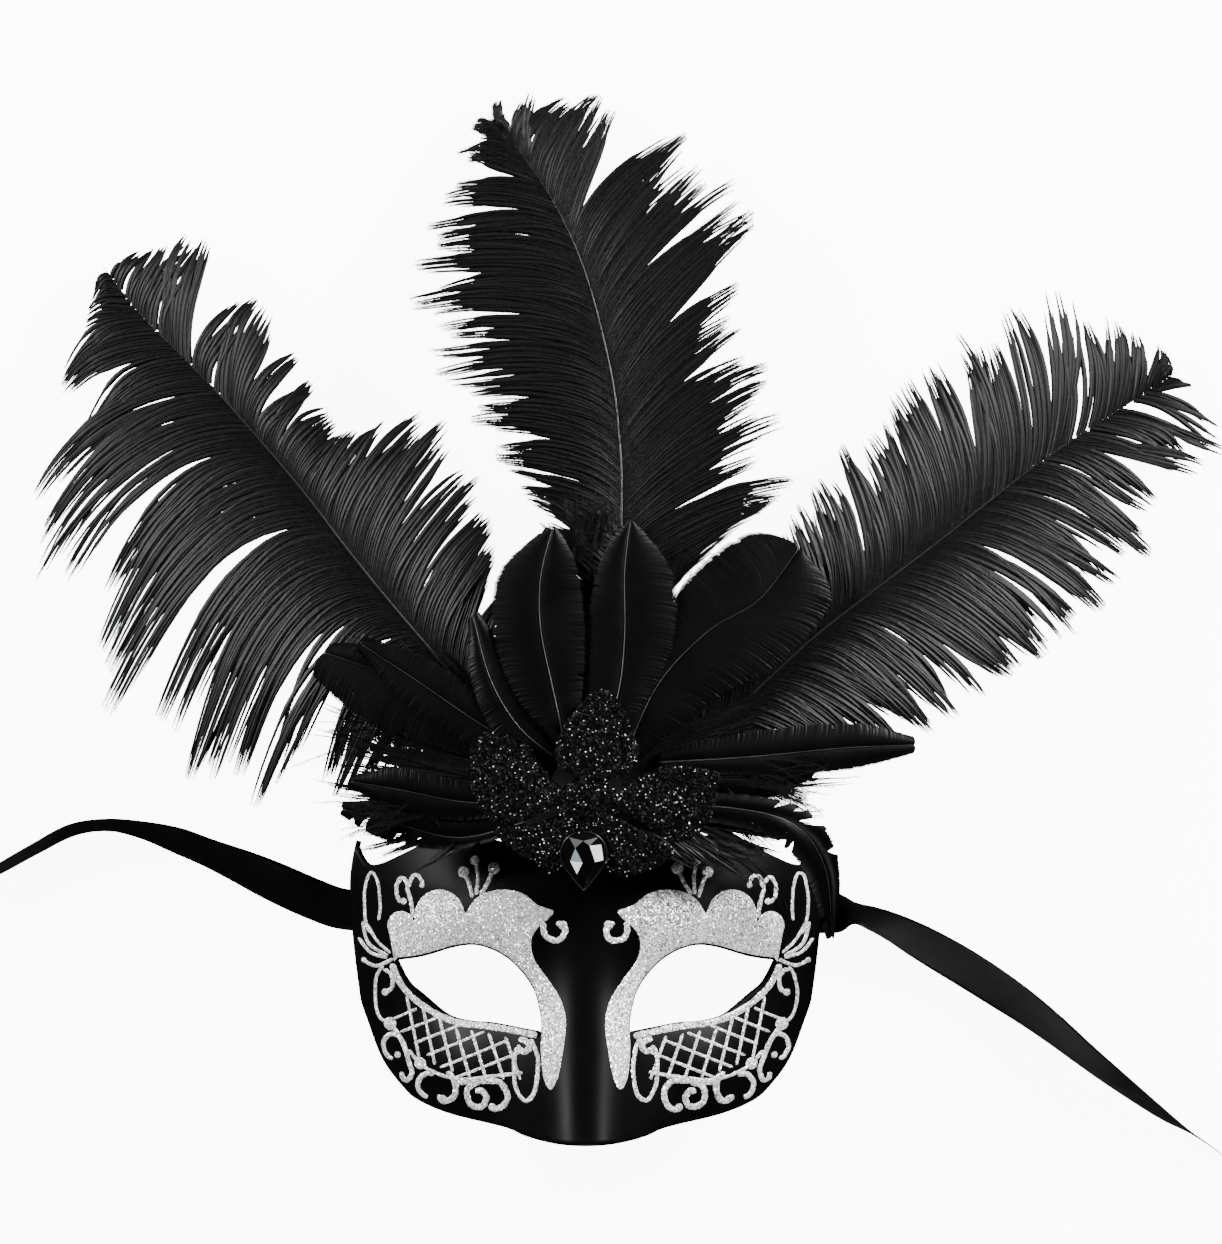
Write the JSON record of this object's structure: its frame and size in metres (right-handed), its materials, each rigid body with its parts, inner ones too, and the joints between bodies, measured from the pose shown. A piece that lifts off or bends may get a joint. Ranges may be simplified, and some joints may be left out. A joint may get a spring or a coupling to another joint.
{
  "type": "venetian masquerade mask",
  "caption": "Black half-face masquerade mask with silver glitter scrollwork, a fan of ostrich and goose feathers, a glitter flower, a drop gem and ribbon ties.",
  "frame": {"origin": "on the surface it lies on, under the middle of the object's box without its ribbon ties; the mask lies on its back, face up", "axes": "+X across the face to the viewer's right, +Y up the face towards the plumes, +Z out of the face"},
  "size_m": [0.6533, 0.4341, 0.0722],
  "materials": {
    "shell_plastic": "matte black moulded shell with a soft satin highlight",
    "silver_glitter": "silver glitter printed in raised lines and bands on the shell",
    "ostrich_vane": "loose downy black ostrich barbs",
    "goose_vane": "closed satiny black goose vane",
    "feather_quill": "dyed black keratin quill, paler on its ridge",
    "black_glitter": "black glitter-coated petals with bright specks",
    "gem_glass": "faceted black acrylic drop",
    "gem_setting": "blackened shallow cup",
    "felt": "black felt",
    "clear_glue": "cloudy hot-melt glue",
    "satin_ribbon": "black satin ribbon with woven edges"
  },
  "bodies": {
    "root": {"mask_shell": "shell_plastic", "plume_centre_vane": "ostrich_vane", "plume_centre_quill": "feather_quill", "plume_left_vane": "ostrich_vane", "plume_left_quill": "feather_quill", "plume_right_vane": "ostrich_vane", "plume_right_quill": "feather_quill", "feather_low_left_vane": "goose_vane", "feather_low_left_quill": "feather_quill", "feather_low_right_vane": "goose_vane", "feather_low_right_quill": "feather_quill", "feather_lower_left_vane": "goose_vane", "feather_lower_left_quill": "feather_quill", "feather_side_right_vane": "goose_vane", "feather_side_right_quill": "feather_quill", "feather_long_left_vane": "goose_vane", "feather_long_left_quill": "feather_quill", "feather_droop_right_vane": "goose_vane", "feather_droop_right_quill": "feather_quill", "feather_over_left_vane": "goose_vane", "feather_over_left_quill": "feather_quill", "feather_broad_right_vane": "goose_vane", "feather_broad_right_quill": "feather_quill", "feather_small_left_vane": "goose_vane", "feather_small_left_quill": "feather_quill", "feather_upright_right_vane": "goose_vane", "feather_upright_right_quill": "feather_quill", "feather_upright_left_vane": "goose_vane", "feather_upright_left_quill": "feather_quill", "petal_top": "black_glitter", "petal_upper_left": "black_glitter", "petal_upper_right": "black_glitter", "petal_lower_left": "black_glitter", "petal_lower_right": "black_glitter", "gem": "gem_glass", "gem_setting": "gem_setting", "felt_pad": "felt", "glue_post": "clear_glue", "glue_bed": "clear_glue", "glue_pad_left": "clear_glue", "glue_pad_right": "clear_glue", "ribbon_left": "satin_ribbon", "ribbon_coil_left": "satin_ribbon", "ribbon_right": "satin_ribbon", "ribbon_coil_right": "satin_ribbon"}
  },
  "joints": []
}
